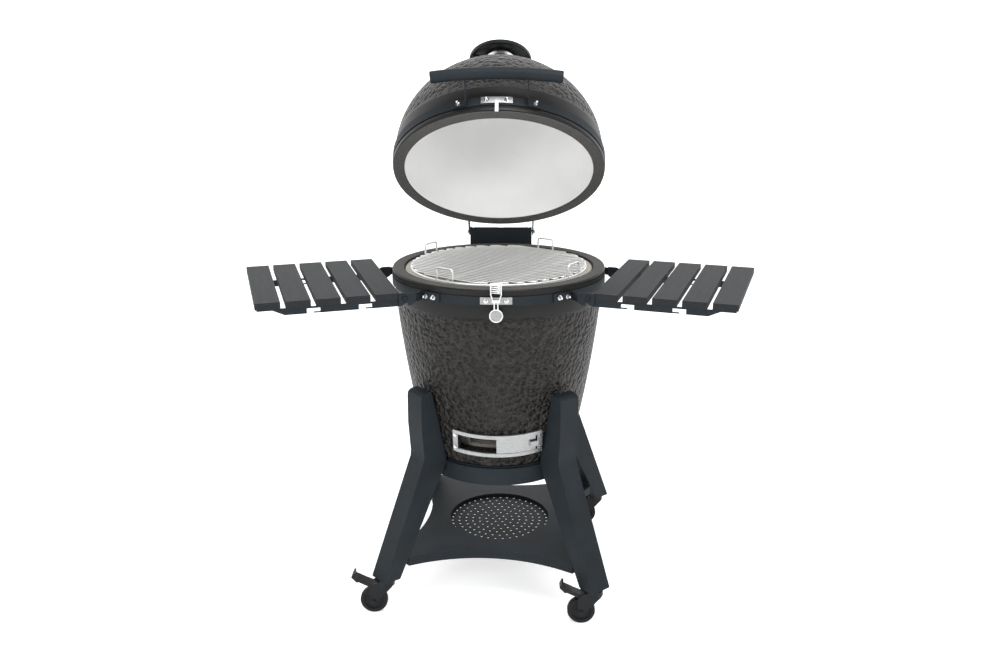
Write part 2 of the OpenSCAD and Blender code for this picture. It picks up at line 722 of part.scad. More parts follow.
module bracket_bolts() {
    color(BRIGHT) at_rim() for (m = [0, 1]) mirror([m, 0, 0])
        for (a = [32.3, 37.2, 105, 109.5]) off_front(a, -band_bottom + band_h / 2)
            translate([fit_r + bracket_t + 0.4, 0, 0]) dome_bolt(3.2, 9);
}
module shelf_pivot_bolts() {
    shank = rail_t + pass_gap + bracket_t;
    color(BLACK) at_rim() for (m = [0, 1]) mirror([m, 0, 0]) at_shelf() {
        translate([0, 0.6, 0]) rotate([90, 0, 0]) {
            cylinder(r = pivot_r, h = shank + 0.6, $fn = 48);
            translate([0, 0, shank + 0.6 + 0.1]) cylinder(r1 = 7, r2 = 5, h = 3.5, $fn = 32);
            translate([0, 0, shank + 0.5]) cylinder(r = pivot_r, h = 0.3, $fn = 48);
            translate([0, 0, -4]) cylinder(r = 7, h = 4, $fn = 6);
        }
        translate([0, rail_apart - 0.6, 0]) rotate([-90, 0, 0]) {
            cylinder(r = pivot_r, h = shank + 0.8, $fn = 48);
            translate([0, 0, shank + 0.7]) cylinder(r1 = 7, r2 = 5, h = 3.5, $fn = 32);
            translate([0, 0, -4]) cylinder(r = 7, h = 4, $fn = 6);
        }
    }
}

/* ---- cooking grates and charcoal grate ---- */
grate_turn = -34;
grate_low = -5 + set_gap;
grate_top = 5;
bar_h = 4.5;
// A round grate: a frame, bars on top and three supports under them, with four lifting loops
module cooking_grate() {
    bar = 3.5;
    step = 2 * (grate_r - 5) / (grate_bars + 1);
    color(BRIGHT) at_rim() rotate([0, 0, grate_turn]) {
        translate([0, 0, grate_low]) linear_extrude(grate_top - grate_low) difference() {
            circle(r = grate_r, $fn = 180);
            circle(r = grate_r - 5, $fn = 180);
        }
        translate([0, 0, grate_top - bar_h]) linear_extrude(bar_h) intersection() {
            circle(r = grate_r - 2, $fn = 180);
            for (i = [0.5 - grate_bars / 2 : 1 : grate_bars / 2]) translate([-grate_r, i * step - bar / 2])
                square([2 * grate_r, bar]);
        }
        translate([0, 0, grate_low]) linear_extrude(grate_top - bar_h - grate_low + 0.2) intersection() {
            circle(r = grate_r - 2, $fn = 180);
            for (x = [-0.55, 0, 0.55]) translate([x * grate_r - 3, -grate_r]) square([6, 2 * grate_r]);
        }
    }
}
// Four wire lifting loops, each standing on the grate's frame
module grate_loops() {
    half = 25.5;
    high = 26;
    r = 2.5;
    color(BRIGHT) at_rim() for (a = [0 : 90 : 270]) rotate([0, 0, grate_turn + a])
        translate([grate_r - r, 0, grate_top]) {
            for (y = [-half, half]) translate([0, y, run_gap]) cylinder(r = r, h = high - run_gap, $fn = 24);
            translate([0, -half, high]) rotate([-90, 0, 0]) cylinder(r = r * 1.02, h = 2 * half, $fn = 24);
        }
}

module charcoal_grate() {
    r = fire_in_r - 1;
    color(BLACK) at_rim() translate([0, 0, -ash_depth + 0.05]) linear_extrude(7) union() {
        difference() {
            circle(r = r, $fn = 120);
            circle(r = r - 10, $fn = 120);
        }
        intersection() {
            circle(r = r - 4, $fn = 120);
            union() {
                for (x = [-140 : 20 : 140]) translate([x - 4, -r]) square([8, 2 * r]);
                translate([-r, -5]) square([2 * r, 10]);
            }
        }
    }
}

/* ---- cart ---- */
foot_z = caster_h - rim_h;
ring_r = foot_r + 3;
ring_top = -bowl_depth - 5;
ring_h = 48;
leg_in = leg_foot_r - 25;
leg_out = leg_foot_r + 25;
kink_z = -505;
function leg_outline() = [[leg_in, foot_z], [ring_r + set_gap, kink_z - 14],
    [ring_r + set_gap, kink_z + 4], [bowl_r(310) + 4, -312], [bowl_r(310) + 8, -304],
    [bowl_r(310) + 30, -306], [bowl_r(310) + 38, -312], [bowl_r(310) + 40, -322],
    [bowl_r(310) + 41, -400], [ring_r + 72, kink_z + 22], [ring_r + 74, kink_z + 6],
    [leg_out, foot_z]];
module leg(a) {
    color(STEEL) at_rim() rotate([0, 0, a + cart_turn]) difference() {
        rotate([90, 0, 0]) translate([0, 0, -leg_w / 2]) linear_extrude(leg_w) polygon(leg_outline());
        translate([leg_foot_r, 0, foot_z - 1]) cylinder(r = 5.2, h = 31, $fn = 48);
    }
}
module front_left_leg() { leg(225); }
module front_right_leg() { leg(315); }
module rear_left_leg() { leg(135); }
module rear_right_leg() { leg(45); }

module cart_ring() {
    color(STEEL) at_rim() {
        translate([0, 0, ring_top - ring_h]) rotate_extrude($fn = 180) polygon([
            [ring_r - 3, 0], [ring_r, 0], [ring_r, ring_h], [ring_r - 6, ring_h],
            [ring_r - 6, ring_h + 4.8], [ring_r - 40, ring_h + 4.8], [ring_r - 40, ring_h + 1.8],
            [ring_r - 9, ring_h + 1.8], [ring_r - 9, ring_h - 3], [ring_r - 3, ring_h - 3]]);
        for (a = [45 : 90 : 315]) rotate([0, 0, a + cart_turn]) difference() {
            rotate([90, 0, 0]) translate([0, 0, -20]) linear_extrude(40) polygon([
                [ring_r - 1.5, kink_z - 20], [ring_r + 2.5, kink_z - 20],
                [ring_r + 12, kink_z - 38], [ring_r - 1.5, kink_z - 38]]);
        }
    }
}

shelf_t = 2.5;
lip_h = 25;
recess_depth = 10;
hole_rings = 7;
hole_pitch = (recess_r - 9) / hole_rings;
corner_r = leg_in - (cart_shelf_h - caster_h) * (leg_in - ring_r) / (kink_z - 14 - foot_z) - 1;
mid_r = 207;
sag_x = (corner_r - leg_w / 2) * sin(45);
sag_y = (corner_r + leg_w / 2) * sin(45);
arc_r = (sag_x * sag_x + pow(sag_y - mid_r, 2)) / (2 * (sag_y - mid_r));
// Outline of the lower shelf, with hollow arcs between the legs, taken in by a wall
module shelf_outline(inset) {
    difference() {
        rotate(45) square(2 * (corner_r - inset), center = true);
        for (a = [0 : 90 : 270]) rotate(a) translate([0, -mid_r - arc_r]) circle(r = arc_r + inset, $fn = 240);
    }
}
module cart_shelf() {
    color(STEEL) at_rim() rotate([0, 0, cart_turn]) translate([0, 0, cart_shelf_h - rim_h]) {
        translate([0, 0, -shelf_t]) linear_extrude(shelf_t) difference() {
            shelf_outline(0);
            circle(r = recess_r, $fn = 120);
        }
        translate([0, 0, -lip_h]) linear_extrude(lip_h - shelf_t) difference() {
            shelf_outline(0);
            shelf_outline(3);
        }
        translate([0, 0, -recess_depth - shelf_t]) linear_extrude(recess_depth + shelf_t) difference() {
            circle(r = recess_r, $fn = 120);
            circle(r = recess_r - shelf_t, $fn = 120);
        }
    }
}
// The perforated floor of the lower shelf's round recess
module cart_shelf_grille() {
    color(STEEL) at_rim() rotate([0, 0, cart_turn])
        translate([0, 0, cart_shelf_h - rim_h - recess_depth - shelf_t]) linear_extrude(shelf_t) difference() {
            circle(r = recess_r - shelf_t - run_gap, $fn = 120);
            circle(r = hole_r, $fn = 16);
            for (k = [1 : hole_rings], i = [0 : 6 * k - 1])
                translate(polar(k * hole_pitch, i * 60 / k)) circle(r = hole_r, $fn = 16);
        }
}

/* ---- casters ---- */
// Places the children on a leg's swivel axis, at the foot of the leg, square to the grill body
module at_caster(a) {
    translate([leg_foot_r * cos(a + cart_turn), leg_foot_r * sin(a + cart_turn), caster_h]) children();
}
head_drop = 4.6;
axle_z = wheel_r - caster_h;
cheek_y = wheel_w / 2 + 2;
module caster_stems() {
    color(BRIGHT) for (a = [45 : 90 : 315]) at_caster(a) {
        translate([0, 0, -4]) cylinder(r = 20, h = 4 - 0.05, $fn = 48);
        cylinder(r = 5, h = 28, $fn = 48);
        translate([0, 0, -14]) cylinder(r = 6, h = 10.5, $fn = 48);
    }
}
module fork(a) {
    t = 3;
    head_r = 23;
    color(BLACK) at_caster(a) {
        difference() {
            translate([0, 0, -19]) cylinder(r = head_r, h = 19 - head_drop, $fn = 48);
            translate([0, 0, -15]) cylinder(r = 6 + run_gap, h = 30, $fn = 48);
        }
        for (s = [-1, 1]) translate([0, s * (cheek_y + t / 2) + t / 2, 0]) rotate([90, 0, 0]) linear_extrude(t)
            union() {
                polygon([[16, -7], [18, -19], [-trail + 9, axle_z - 3], [-trail - 9, axle_z + 3],
                    [-trail - 12, -34], [-trail - 7, -22], [-trail - 1, -14], [-20, -8], [-16, -7]]);
                translate([-trail, axle_z]) circle(r = 10, $fn = 48);
            }
        translate([-trail, 0, axle_z]) rotate([90, 0, 0]) {
            cylinder(r = 4, h = 2 * (cheek_y + t) + 2, center = true, $fn = 48);
            for (m = [0, 1]) mirror([0, 0, m]) translate([0, 0, cheek_y + t])
                cylinder(r = 6.5, h = 3, $fn = 6);
        }
    }
}
module wheel(a) {
    color(BLACK) at_caster(a) translate([-trail, 0, axle_z]) rotate([90, 0, 0]) difference() {
        rotate_extrude($fn = 120) polygon([[4 + run_gap, -wheel_w / 2], [9, -wheel_w / 2],
            [10, -wheel_w / 2 + 4], [24, -wheel_w / 2 + 4], [26, -wheel_w / 2 + 1],
            [wheel_r - 4, -wheel_w / 2 + 1], [wheel_r - 1, -wheel_w / 2 + 3], [wheel_r, -wheel_w / 2 + 6],
            [wheel_r, wheel_w / 2 - 6], [wheel_r - 1, wheel_w / 2 - 3], [wheel_r - 4, wheel_w / 2 - 1],
            [26, wheel_w / 2 - 1], [24, wheel_w / 2 - 4], [10, wheel_w / 2 - 4],
            [9, wheel_w / 2], [4 + run_gap, wheel_w / 2]]);
    }
}
pedal_pin = [-trail + 4, -20];
module pedal(a) {
    half = cheek_y - pass_gap;
    color(BLACK) at_caster(a) {
        difference() {
            translate([0, half, 0]) rotate([90, 0, 0]) linear_extrude(2 * half) translate(pedal_pin)
                polygon([[6, 4], [5, -4], [-3, -5], [-13, -4], [-27, 3], [-43, 11], [-49, 10], [-63, 25],
                    [-57, 39], [-53, 38], [-52, 27], [-43, 23], [-25, 14], [-7, 6]]);
            translate([pedal_pin[0], 0, pedal_pin[1]]) rotate([90, 0, 0])
                cylinder(r = 2.5 + run_gap, h = 60, center = true, $fn = 32);
        }
    }
}
module front_left_fork() { fork(225); pedal_pin_of(225); }
module front_right_fork() { fork(315); pedal_pin_of(315); }
module rear_left_fork() { fork(135); }
module rear_right_fork() { fork(45); }
module pedal_pin_of(a) {
    color(BLACK) at_caster(a) translate([pedal_pin[0], 0, pedal_pin[1]]) rotate([90, 0, 0])
        cylinder(r = 2.5, h = 2 * cheek_y + 6, center = true, $fn = 32);
}
module front_left_wheel() { wheel(225); }
module front_right_wheel() { wheel(315); }
module rear_left_wheel() { wheel(135); }
module rear_right_wheel() { wheel(45); }
module front_left_pedal() { pedal(225); }
module front_right_pedal() { pedal(315); }

ceramic_base();
base_gasket();
base_band();
latch_plate();
base_band_bolts();
left_shelf_brackets();
right_shelf_brackets();
bracket_bolts();
shelf_pivot_bolts();
hinge_base_frame();
hinge_pin();
hinge_springs();
fire_bowl();
fire_ring();
charcoal_grate();
draft_frame();
draft_screws();
front_left_leg();
front_right_leg();
rear_left_leg();
rear_right_leg();
cart_ring();
cart_shelf();
cart_shelf_grille();
caster_stems();
ceramic_lid();
lid_gasket();
lid_band();
lid_catch();
lid_band_bolts();
handle_bar();
handle_end_caps();
handle_arms();
hinge_lid_frame();
vent_stack();
vent_nut();
vent_cap();
draft_slider();
draft_slider_inner();
latch_lever();
latch_disc();
latch_bail();
latch_spring();
left_shelf_rails();
left_shelf_boards();
right_shelf_rails();
right_shelf_boards();
cooking_grate();
grate_loops();
front_left_fork();
front_right_fork();
rear_left_fork();
rear_right_fork();
front_left_wheel();
front_right_wheel();
rear_left_wheel();
rear_right_wheel();
front_left_pedal();
front_right_pedal();
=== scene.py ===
"""Kamado ceramic grill on a steel cart: the visual model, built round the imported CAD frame.

Pieces are drawn in millimetres in the grill's own axes: x to the right, y to the back, z up from
the rim of the bowl. Two placing functions carry them into the frame in metres.
"""
import json
import math

import bpy
import numpy as np
from mathutils import Euler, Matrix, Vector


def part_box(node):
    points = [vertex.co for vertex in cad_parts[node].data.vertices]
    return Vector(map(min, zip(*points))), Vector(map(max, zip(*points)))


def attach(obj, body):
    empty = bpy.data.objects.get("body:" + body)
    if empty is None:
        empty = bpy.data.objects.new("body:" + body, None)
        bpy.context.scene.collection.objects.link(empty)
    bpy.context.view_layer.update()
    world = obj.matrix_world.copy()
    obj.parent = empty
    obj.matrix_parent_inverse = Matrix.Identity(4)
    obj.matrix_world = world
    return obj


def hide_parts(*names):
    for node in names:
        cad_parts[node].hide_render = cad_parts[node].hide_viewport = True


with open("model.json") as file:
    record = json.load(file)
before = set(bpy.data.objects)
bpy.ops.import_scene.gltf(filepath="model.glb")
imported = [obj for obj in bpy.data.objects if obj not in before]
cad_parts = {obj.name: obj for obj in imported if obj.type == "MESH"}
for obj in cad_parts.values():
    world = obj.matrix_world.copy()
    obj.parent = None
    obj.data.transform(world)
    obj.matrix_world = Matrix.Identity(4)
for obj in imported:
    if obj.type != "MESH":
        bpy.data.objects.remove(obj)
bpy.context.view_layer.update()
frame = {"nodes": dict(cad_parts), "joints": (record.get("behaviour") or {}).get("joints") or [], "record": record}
JOINTS = {joint["name"]: joint for joint in frame["joints"]}
NODES = frame["nodes"]

# ---------------------------------------------------------------- sizes, mm
RIM_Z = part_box("base_gasket")[1].z * 1000
RIM_R = (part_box("ceramic_base")[1].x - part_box("ceramic_base")[0].x) * 500
HINGE = np.array(JOINTS["lid_hinge"]["pos_m"]) * 1000 - (0, 0, RIM_Z)
LID_OPEN = math.radians(-JOINTS["lid_hinge"]["range_deg"][0])
WALL = 31.0
GASKET_T = 3.0
BAND_LOW, BAND_HIGH = 19.5, 42.5
GROOVE_END = BAND_HIGH + 3.5
DOME_R = RIM_R - 4
DOME_Z = GROOVE_END + 4
DOME_RISE = 269.0
NECK_R = 62.0
STACK_R = 34.0
# gaps from the lid to its gasket and to the vent stack, and how deep the band sits in the lid
GASKET_GAP = 0.4
STACK_GAP = 0.2
BAND_SEAT = 1.5
DOME_TURNS = 200
# edges of a CAD node that turn by more than this stay sharp, degrees
COPY_SHARP = 30


# ---------------------------------------------------------------- placing
def on_base(points):
    """Grill axes to the frame: raise by the height of the rim, mm to metres."""
    return (points + (0, 0, RIM_Z)) / 1000


def on_lid(points):
    """Axes of the closed lid to the open lid: turn about the hinge line, then as on_base."""
    x, y, z = (points - HINGE).T
    cos, sin = math.cos(LID_OPEN), math.sin(LID_OPEN)
    turned = np.stack([x, y * cos + z * sin, z * cos - y * sin], axis=1)
    return on_base(turned + HINGE)


def turn_z(points, degrees):
    """Points turned about the bowl's axis."""
    a = math.radians(degrees)
    x, y, z = points.T
    return np.stack([x * math.cos(a) - y * math.sin(a), x * math.sin(a) + y * math.cos(a), z], axis=1)


# ---------------------------------------------------------------- surfaces
def grid_faces(rows, columns, wrap_rows):
    """Quads of a grid of rows by columns, numbered row by row and closed along each row."""
    i = np.arange(rows if wrap_rows else rows - 1)[:, None]
    j = np.arange(columns)[None, :]
    a, b = i * columns, (i + 1) % rows * columns
    k = (j + 1) % columns
    return np.stack([a + j, a + k, b + k, b + j], axis=-1).reshape(-1, 4)


def revolve(profile, turns):
    """A closed profile of (radius, height) points carried round the Z axis:
    point(u, v) = (r(u) sin v, -r(u) cos v, z(u)), u and v both closed."""
    profile = np.asarray(profile, float)
    v = np.linspace(0, 2 * math.pi, turns, endpoint=False)
    r, z = profile[:, :1], profile[:, 1:]
    points = np.stack([r * np.sin(v), -r * np.cos(v), z + 0 * v], axis=-1).reshape(-1, 3)
    return points, grid_faces(len(profile), turns, wrap_rows=True)


def tube(path, radius, up, sides, closed=False):
    """A round wire along a path: point(u, v) = path(u) + radius (cos v side(u) + sin v up(u)),
    where side is the path's direction crossed with up. An open wire ends in a small cone."""
    path, up = np.asarray(path, float), np.asarray(up, float)
    if closed:
        ahead = np.roll(path, -1, 0) - np.roll(path, 1, 0)
    else:
        ahead = np.gradient(path, axis=0)
    ahead /= np.linalg.norm(ahead, axis=1, keepdims=True)
    side = np.cross(ahead, np.broadcast_to(up, path.shape))
    side /= np.linalg.norm(side, axis=1, keepdims=True)
    top = np.cross(side, ahead)
    v = np.linspace(0, 2 * math.pi, sides, endpoint=False)[:, None, None]
    rings = path + radius * (np.cos(v) * side + np.sin(v) * top)
    points = rings.transpose(1, 0, 2).reshape(-1, 3)
    faces = grid_faces(len(path), sides, wrap_rows=closed)[:, ::-1]
    if closed:
        return points, [tuple(f) for f in faces]
    first = len(points)
    ends = np.stack([path[0] - ahead[0] * radius * 0.3, path[-1] + ahead[-1] * radius * 0.3])
    last = (len(path) - 1) * sides
    caps = [(first, (j + 1) % sides, j) for j in range(sides)]
    caps += [(first + 1, last + j, last + (j + 1) % sides) for j in range(sides)]
    return np.vstack([points, ends]), [tuple(f) for f in faces] + caps


def joined(parts):
    """Several (points, faces) pairs as one."""
    points, faces, start = [], [], 0
    for part_points, part_faces in parts:
        points.append(part_points)
        faces += [tuple(int(i) + start for i in f) for f in part_faces]
        start += len(part_points)
    return np.vstack(points), faces


def piece(name, body, points, faces, material, replaces, sharp, inner=None):
    """A new mesh object from points in metres: it rides on body, takes the given material and stands for
    the nodes in replaces. Edges turning by more than sharp degrees stay sharp. inner is (face test as an
    array of booleans, second material)."""
    mesh = bpy.data.meshes.new(name)
    mesh.from_pydata(points.tolist(), [], [tuple(int(i) for i in f) for f in faces])
    mesh.polygons.foreach_set("use_smooth", np.ones(len(mesh.polygons), bool))
    mesh.set_sharp_from_angle(angle=math.radians(sharp))
    mesh.materials.append(material)
    if inner:
        mesh.materials.append(inner[1])
        mesh.polygons.foreach_set("material_index", inner[0].astype(np.int32))
    mesh.update()
    item = bpy.data.objects.new(name, mesh)
    bpy.context.scene.collection.objects.link(item)
    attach(item, body)
    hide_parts(*replaces)
    return item


def smooth_copy(node, body, material, edge):
    """A merged copy of a CAD node with smooth curved faces, standing for the node. Where edge isn't
    zero, its sharp edges are rounded by that many millimetres."""
    source = NODES[node].data
    corners = np.empty(len(source.vertices) * 3, np.float32)
    source.vertices.foreach_get("co", corners)
    corners = corners.reshape(-1, 3).astype(float)
    keys = np.round(corners * 1e6).astype(np.int64)
    _, first, number = np.unique(keys, axis=0, return_index=True, return_inverse=True)
    triangles = np.empty(len(source.loops), np.int32)
    source.loops.foreach_get("vertex_index", triangles)
    triangles = number.reshape(-1)[triangles].reshape(-1, 3)
    whole = ((triangles[:, 0] != triangles[:, 1]) & (triangles[:, 1] != triangles[:, 2])
             & (triangles[:, 2] != triangles[:, 0]))
    item = piece(node + "_shape", body, corners[first], triangles[whole], material, (node,), COPY_SHARP)
    if edge:
        rounding = item.modifiers.new("rounded_edges", "BEVEL")
        rounding.width, rounding.segments = edge / 1000, 3
        rounding.limit_method, rounding.angle_limit = "ANGLE", math.radians(COPY_SHARP)
    return item


# ---------------------------------------------------------------- materials
def colour(hex_code):
    """An sRGB hex colour as linear red, green, blue and alpha."""
    values = [int(hex_code[i:i + 2], 16) / 255 for i in (1, 3, 5)]
    return [v / 12.92 if v <= 0.04045 else ((v + 0.055) / 1.055) ** 2.4 for v in values] + [1.0]


def add(tree, kind, settings=None, links=None):
    """A node of that kind: settings go to its inputs by name or number, or to its own properties,
    and links join its inputs to other nodes' outputs."""
    node = tree.nodes.new(kind)
    for key, value in (settings or {}).items():
        if isinstance(key, int) or key in node.inputs:
            node.inputs[key].default_value = value
        else:
            setattr(node, key, value)
    for key, source in (links or {}).items():
        tree.links.new(source, node.inputs[key])
    return node


def ramp(tree, factor, stops):
    """A colour ramp over (position, hex colour) stops."""
    node = add(tree, "ShaderNodeValToRGB", links={"Fac": factor})
    elements = node.color_ramp.elements
    for element, (place, code) in zip(elements, stops):
        element.position = place
        element.color = colour(code)
    for place, code in stops[2:]:
        elements.new(place).color = colour(code)
    return node.outputs["Color"]


def new_material(name):
    """An empty node material with its shader: returns the material, its tree and the shader."""
    material = bpy.data.materials.new(name)
    material.use_nodes = True
    tree = material.node_tree
    return material, tree, tree.nodes["Principled BSDF"]


def place_mm(tree, stretch=(1, 1, 1), turn=(0, 0, 0)):
    """Object coordinates in millimetres, turned and then stretched."""
    where = add(tree, "ShaderNodeTexCoord").outputs["Object"]
    turned = add(tree, "ShaderNodeMapping", {"Rotation": turn}, {"Vector": where})
    scale = [1000 * s for s in stretch]
    return add(tree, "ShaderNodeMapping", {"Scale": scale}, {"Vector": turned.outputs[0]}).outputs[0]


def glazed_ceramic(name, axis_point, tilt, smooth_to, pits_from):
    """Fired clay under a dark matte glaze, with a hammered relief of shallow pits about 11 mm across and painted
    shade that darkens the middle of each pit. Relief and painted shade fade out below the smooth collar: smooth_to
    and pits_from are heights along the axis."""
    material, tree, shader = new_material(name)
    at = place_mm(tree)
    axis = add(tree, "ShaderNodeVectorMath", {"operation": "SUBTRACT", 1: axis_point}, {0: at})
    along = add(tree, "ShaderNodeVectorMath", {"operation": "DOT_PRODUCT", 1: tilt}, {0: axis.outputs[0]})
    mask = add(tree, "ShaderNodeMapRange", {"From Min": smooth_to, "From Max": pits_from},
               {"Value": along.outputs["Value"]}).outputs[0]
    wander = add(tree, "ShaderNodeTexNoise", {"Scale": 1 / 14, "Detail": 2.0}, {"Vector": at})
    shift = add(tree, "ShaderNodeVectorMath", {"operation": "SCALE", "Scale": 11.0},
                {0: wander.outputs["Color"]})
    bent = add(tree, "ShaderNodeVectorMath", {"operation": "ADD"}, {0: at, 1: shift.outputs[0]})
    pits = add(tree, "ShaderNodeTexVoronoi", {"feature": "SMOOTH_F1", "Scale": 1 / 12, "Smoothness": 0.35,
                                              "Randomness": 1.0}, {"Vector": bent.outputs[0]})
    masked = add(tree, "ShaderNodeMath", {"operation": "MULTIPLY"}, {0: pits.outputs["Distance"], 1: mask})
    grain = add(tree, "ShaderNodeTexNoise", {"Scale": 1 / 2.2, "Detail": 3.0}, {"Vector": at})
    fine = add(tree, "ShaderNodeBump", {"Strength": 0.3, "Distance": 0.0005},
               {"Height": grain.outputs["Fac"]})
    bump = add(tree, "ShaderNodeBump", {"Strength": 1.0, "Distance": 0.012, "invert": True},
               {"Height": masked.outputs[0], "Normal": fine.outputs[0]})
    # the colour is a fine random speckle plus painted shade in the pits: darker towards the middle of each pit.
    # Where the relief fades, on the smooth collar, only the speckle is left, in the darkest tones
    speckle_and_pit_shade = add(tree, "ShaderNodeMath", {"operation": "MULTIPLY_ADD", 1: 0.3},
                  {0: grain.outputs["Fac"], 2: masked.outputs[0]})
    tree.links.new(ramp(tree, speckle_and_pit_shade.outputs[0], [(0.1, "#0e0e0e"), (1.0, "#2b2825"), (0.45, "#151414")]),
                   shader.inputs["Base Color"])
    tree.links.new(bump.outputs[0], shader.inputs["Normal"])
    shader.inputs["Roughness"].default_value = 0.42
    shader.inputs["Specular IOR Level"].default_value = 0.26
    return material


def powder_coat(name, dark, light, roughness):
    """Powder-coated steel: a dry satin paint baked on, with a fine orange-peel skin drawn 2 mm wide
    so that it shows."""
    material, tree, shader = new_material(name)
    at = place_mm(tree)
    peel = add(tree, "ShaderNodeTexNoise", {"Scale": 1 / 2, "Detail": 4.0, "Roughness": 0.6}, {"Vector": at})
    patch = add(tree, "ShaderNodeTexNoise", {"Scale": 1 / 90, "Detail": 2.0}, {"Vector": at})
    mixed = add(tree, "ShaderNodeMath", {"operation": "MULTIPLY_ADD", 1: 0.35},
                {0: peel.outputs["Fac"], 2: patch.outputs["Fac"]})
    tree.links.new(ramp(tree, mixed.outputs[0], [(0.35, dark), (0.95, light)]), shader.inputs["Base Color"])
    rough = add(tree, "ShaderNodeMapRange", {"To Min": roughness - 0.08, "To Max": roughness + 0.1},
                {"Value": peel.outputs["Fac"]})
    tree.links.new(rough.outputs[0], shader.inputs["Roughness"])
    bump = add(tree, "ShaderNodeBump", {"Strength": 0.35, "Distance": 0.0003},
               {"Height": peel.outputs["Fac"]})
    tree.links.new(bump.outputs[0], shader.inputs["Normal"])
    shader.inputs["Specular IOR Level"].default_value = 0.22
    return material


def metal(name, dark, light, roughness, stretch=(1, 1, 1), depth=0.0002):
    """Bare steel: brushed where stretch draws the marks out along one way, polished where the
    roughness is low."""
    material, tree, shader = new_material(name)
    at = place_mm(tree, stretch)
    marks = add(tree, "ShaderNodeTexNoise", {"Scale": 1 / 2, "Detail": 4.0, "Roughness": 0.7}, {"Vector": at})
    tree.links.new(ramp(tree, marks.outputs["Fac"], [(0.3, dark), (0.7, light)]), shader.inputs["Base Color"])
    rough = add(tree, "ShaderNodeMapRange", {"To Min": roughness * 0.75, "To Max": roughness * 1.3},
                {"Value": marks.outputs["Fac"]})
    tree.links.new(rough.outputs[0], shader.inputs["Roughness"])
    bump = add(tree, "ShaderNodeBump", {"Strength": 0.3, "Distance": depth}, {"Height": marks.outputs["Fac"]})
    tree.links.new(bump.outputs[0], shader.inputs["Normal"])
    shader.inputs["Metallic"].default_value = 1.0
    return material


def mottled(name, dark, light, roughness, size, depth, stretch=(1, 1, 1), turn=(0, 0, 0)):
    """A dull solid such as felt, fired brick, cast iron, moulded plastic or rubber: a mottle of that
    size in millimetres drives both its colour and a relief of that depth in metres."""
    material, tree, shader = new_material(name)
    at = place_mm(tree, stretch, turn)
    mottle = add(tree, "ShaderNodeTexNoise", {"Scale": 1 / size, "Detail": 5.0, "Roughness": 0.65},
                 {"Vector": at})
    tree.links.new(ramp(tree, mottle.outputs["Fac"], [(0.3, dark), (0.72, light)]),
                   shader.inputs["Base Color"])
    bump = add(tree, "ShaderNodeBump", {"Strength": 0.6, "Distance": depth},
               {"Height": mottle.outputs["Fac"]})
    tree.links.new(bump.outputs[0], shader.inputs["Normal"])
    shader.inputs["Roughness"].default_value = roughness
    shader.inputs["Specular IOR Level"].default_value = 0.25
    return material


# how far along the axis the collar stays smooth, and where the relief is full, mm
SMOOTH_TO = 78
BOWL_PITS_FROM = 88
LID_PITS_FROM = 90
LID_AXIS = (0, math.sin(LID_OPEN), math.cos(LID_OPEN))
LID_FOOT = tuple(on_lid(np.array([[0.0, 0.0, 0.0]]))[0] * 1000)
# dark glaze, hammered below the collar of the bowl and above the collar of the lid
BOWL_GLAZE = glazed_ceramic("hammered_glaze_bowl", (0, 0, RIM_Z), (0, 0, -1), SMOOTH_TO, BOWL_PITS_FROM)
LID_GLAZE = glazed_ceramic("hammered_glaze_lid", LID_FOOT, LID_AXIS, SMOOTH_TO, LID_PITS_FROM)
# the inside of the lid is a smooth pale glaze
PALE_GLAZE = mottled("pale_inner_glaze", "#efefee", "#f3f3f2", 0.5, 60, 0.00005)
# paint: blue-black powder coat on the cart, bands and brackets
SLATE_PAINT = powder_coat("slate_powder_coat", "#10161a", "#192127", 0.58)
BLACK_PAINT = powder_coat("black_powder_coat", "#0c0e10", "#171a1c", 0.42)
# bare metal: brushed sheet, drawn wire and polished tube
BRUSHED_STEEL = metal("brushed_stainless_steel", "#8b8d8e", "#b4b5b5", 0.34, (0.06, 1, 1))
WIRE_STEEL = metal("drawn_stainless_wire", "#dcdddc", "#f4f4f2", 0.45)
POLISHED_STEEL = metal("polished_chrome", "#d0d2d4", "#ececec", 0.12, depth=0.00005)
# felt seals, fired brick, cast iron, plastics and wood composite
FELT = mottled("pressed_felt", "#3d3c3b", "#5a5957", 0.95, 3.0, 0.0008)
FIRE_BRICK = mottled("fired_clay_ring", "#8d8a84", "#b2aea6", 0.9, 6.0, 0.0006)
CAST_IRON = mottled("painted_cast_iron", "#0d0f10", "#191c1e", 0.45, 4.0, 0.0004)
PLASTIC = mottled("moulded_black_plastic", "#0a0b0c", "#151719", 0.45, 3.0, 0.0002)
RUBBER = mottled("wheel_rubber", "#090a0b", "#141517", 0.6, 5.0, 0.0003)
GRAIN_ALONG = math.radians(18)
RIGHT_BOARD = mottled("composite_board_right", "#121517", "#222629", 0.66, 5.0, 0.0004,
                      (1, 0.03, 1), (0, 0, GRAIN_ALONG))
LEFT_BOARD = mottled("composite_board_left", "#121517", "#222629", 0.66, 5.0, 0.0004,
                     (1, 0.03, 1), (0, 0, -GRAIN_ALONG))

